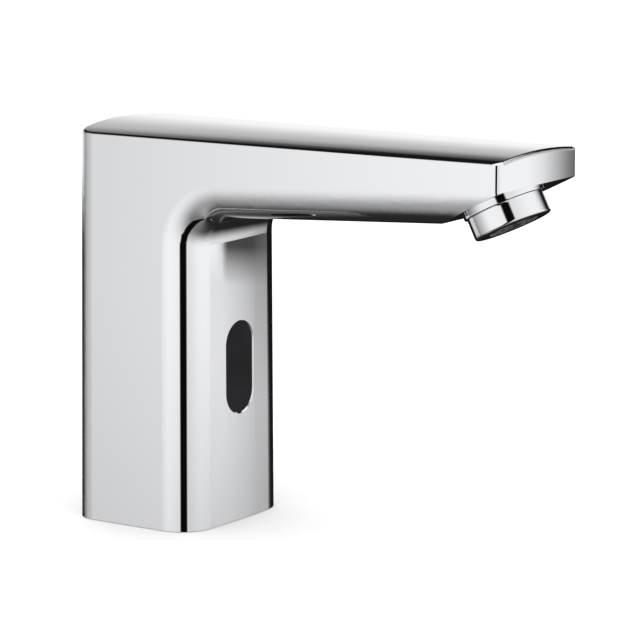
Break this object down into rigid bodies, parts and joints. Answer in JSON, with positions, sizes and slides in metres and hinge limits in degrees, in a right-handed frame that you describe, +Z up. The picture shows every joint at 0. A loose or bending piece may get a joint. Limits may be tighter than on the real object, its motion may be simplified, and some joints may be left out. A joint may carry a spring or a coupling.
{
  "type": "sensor tap",
  "caption": "Deck-mounted touch-free basin tap: chrome column with a long flat spout, a black sensor window and a leaning screw-in aerator, with valve and battery inside.",
  "frame": {"origin": "on the deck, on the column's centre line", "axes": "+Z up, -Y toward the spout and the user, +X across the column"},
  "size_m": [0.0632, 0.1864, 0.1483],
  "materials": {
    "chrome_body": "polished chrome plate on cast brass",
    "chrome_ring": "polished chrome plate on turned brass",
    "window_plastic": "gloss black, lets infrared through",
    "black_rubber": "matte moulded",
    "black_plastic": "matte moulded",
    "grey_plastic": "glass-filled, matte moulded",
    "white_plastic": "satin moulded",
    "blue_plastic": "satin moulded",
    "board_laminate": "solder mask",
    "diode_clear": "clear moulded",
    "diode_dark": "dark moulded",
    "screw_steel": "stainless",
    "spring_steel": "drawn stainless wire",
    "turned_steel": "turned stainless",
    "mesh_steel": "etched stainless sheet",
    "yoke_steel": "zinc plated",
    "copper_wire": "enamelled copper wire",
    "copper_tube": "drawn copper",
    "ferrite": "sintered",
    "brass": "turned brass",
    "battery_wrap": "shrink sleeve",
    "lead_sleeve": "two-core sleeve"
  },
  "bodies": {
    "tap": {"tap_body": "chrome_body", "sensor_window": "window_plastic", "window_gasket": "black_rubber", "sensor_case": "black_plastic", "sensor_circuit_board": "board_laminate", "infrared_emitter": "diode_clear", "infrared_receiver": "diode_dark", "light_baffle": "black_plastic", "sensor_screws": "screw_steel", "base_plate": "brass", "base_seal": "black_rubber", "body_locking_screw": "screw_steel", "block_screws": "screw_steel", "inlet_fitting": "brass", "inlet_o_ring": "black_rubber", "inlet_strainer": "mesh_steel", "check_valve_housing": "white_plastic", "check_valve_guide": "white_plastic", "check_valve_spring": "spring_steel", "check_valve_o_ring": "black_rubber", "valve_block": "grey_plastic", "diaphragm": "black_rubber", "diaphragm_spring": "spring_steel", "valve_bonnet": "grey_plastic", "bonnet_screws": "screw_steel", "armature_tube": "turned_steel", "fixed_core": "turned_steel", "plunger_spring": "spring_steel", "coil_bobbin": "white_plastic", "coil_winding": "copper_wire", "coil_yoke": "yoke_steel", "latch_magnet": "ferrite", "coil_nut": "screw_steel", "spout_tube": "copper_tube", "tube_o_rings": "black_rubber", "battery_standoffs": "brass", "battery_holder": "black_plastic", "battery_screws": "screw_steel", "battery": "battery_wrap", "battery_contacts": "brass", "battery_cap": "black_plastic", "coil_lead": "lead_sleeve", "battery_lead": "lead_sleeve"},
    "aerator_cartridge": {"aerator_insert": "black_plastic", "flow_regulator": "blue_plastic", "aerator_mesh": "mesh_steel", "aerator_washer": "black_rubber"},
    "aerator_ring": {"aerator_housing": "chrome_ring"},
    "plunger_body": {"plunger": "turned_steel", "plunger_seal": "black_rubber"},
    "diaphragm_lifter": {"diaphragm_insert": "white_plastic"},
    "check_poppet": {"check_valve_poppet": "blue_plastic"}
  },
  "joints": [
    {"name": "aerator_travel", "type": "slide", "parent": "tap", "child": "aerator_cartridge", "axis": [0, -0.454, -0.891], "range_m": [0, 0.005]},
    {"name": "aerator_unscrew", "type": "hinge", "parent": "aerator_cartridge", "child": "aerator_ring", "pos_m": [0, -0.14111, 0.12924], "axis": [0, -0.454, -0.891], "range_deg": [0, 1800]},
    {"name": "plunger_lift", "type": "slide", "parent": "tap", "child": "plunger_body", "axis": [0, 0, 1], "range_m": [0, 0.0022], "stiffness_N_per_m": 250, "springref_m": -0.004, "deforming": ["plunger_spring"]},
    {"name": "diaphragm_lift", "type": "slide", "parent": "tap", "child": "diaphragm_lifter", "axis": [0, 0, 1], "range_m": [0, 0.0016], "deforming": ["diaphragm_spring", "diaphragm"]},
    {"name": "check_valve_open", "type": "slide", "parent": "tap", "child": "check_poppet", "axis": [0, 0, 1], "range_m": [0, 0.003], "stiffness_N_per_m": 60, "springref_m": -0.004, "deforming": ["check_valve_spring"]}
  ],
  "couplings": [
    {"joint": "aerator_travel", "follows": "aerator_unscrew", "m_per_rad": 0.00015915},
    {"joint": "diaphragm_lift", "follows": "plunger_lift", "ratio": 0.72727}
  ]
}
